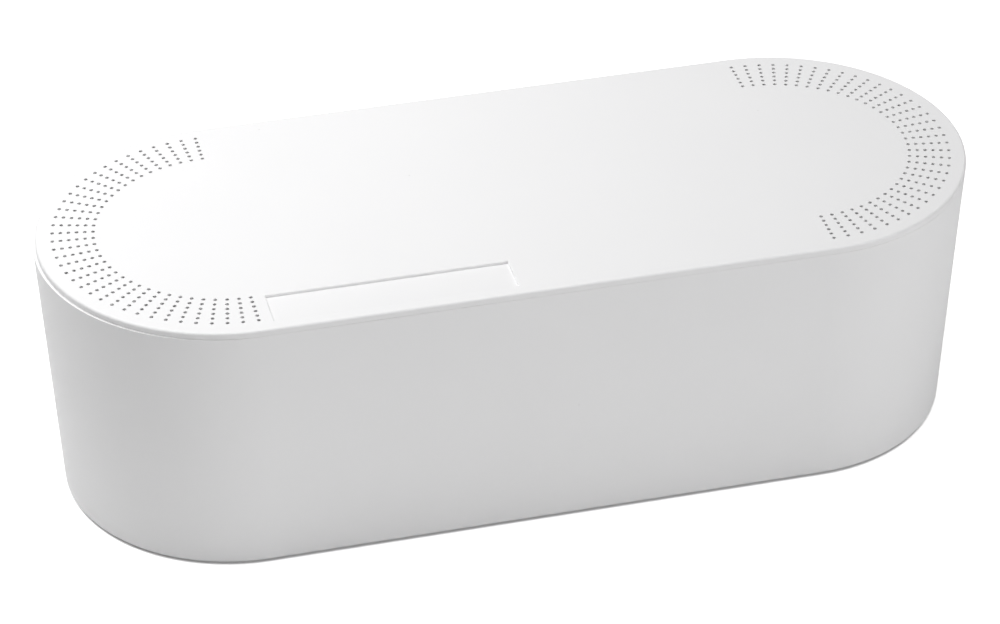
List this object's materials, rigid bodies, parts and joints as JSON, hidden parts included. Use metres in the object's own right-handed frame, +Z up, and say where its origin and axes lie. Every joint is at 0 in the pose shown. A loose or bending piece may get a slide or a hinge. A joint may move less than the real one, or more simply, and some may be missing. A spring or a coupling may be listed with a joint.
{
  "type": "cable management box",
  "caption": "Stadium-shaped tub with leaning walls, rear cable outlets and rubber feet, closed by a lift-off lid with vent holes round its ends and a shallow bare recess.",
  "frame": {"origin": "on the surface that the feet stand on, under the middle of the box", "axes": "+X to the right along the box, +Y to the rear with the cable outlets, +Z up; the front with the lid's recess faces -Y"},
  "size_m": [0.4151, 0.165, 0.1245],
  "materials": {
    "white_plastic": "fine matte moulded texture",
    "foot_rubber": "matte"
  },
  "bodies": {
    "tub": {"tub": "white_plastic", "foot_front_left": "foot_rubber", "foot_front_right": "foot_rubber", "foot_rear_left": "foot_rubber", "foot_rear_right": "foot_rubber"},
    "lid": {"lid": "white_plastic"}
  },
  "joints": [
    {"name": "lid_lift", "type": "slide", "parent": "tub", "child": "lid", "axis": [0, 0, 1], "range_m": [0, 0.15]}
  ]
}
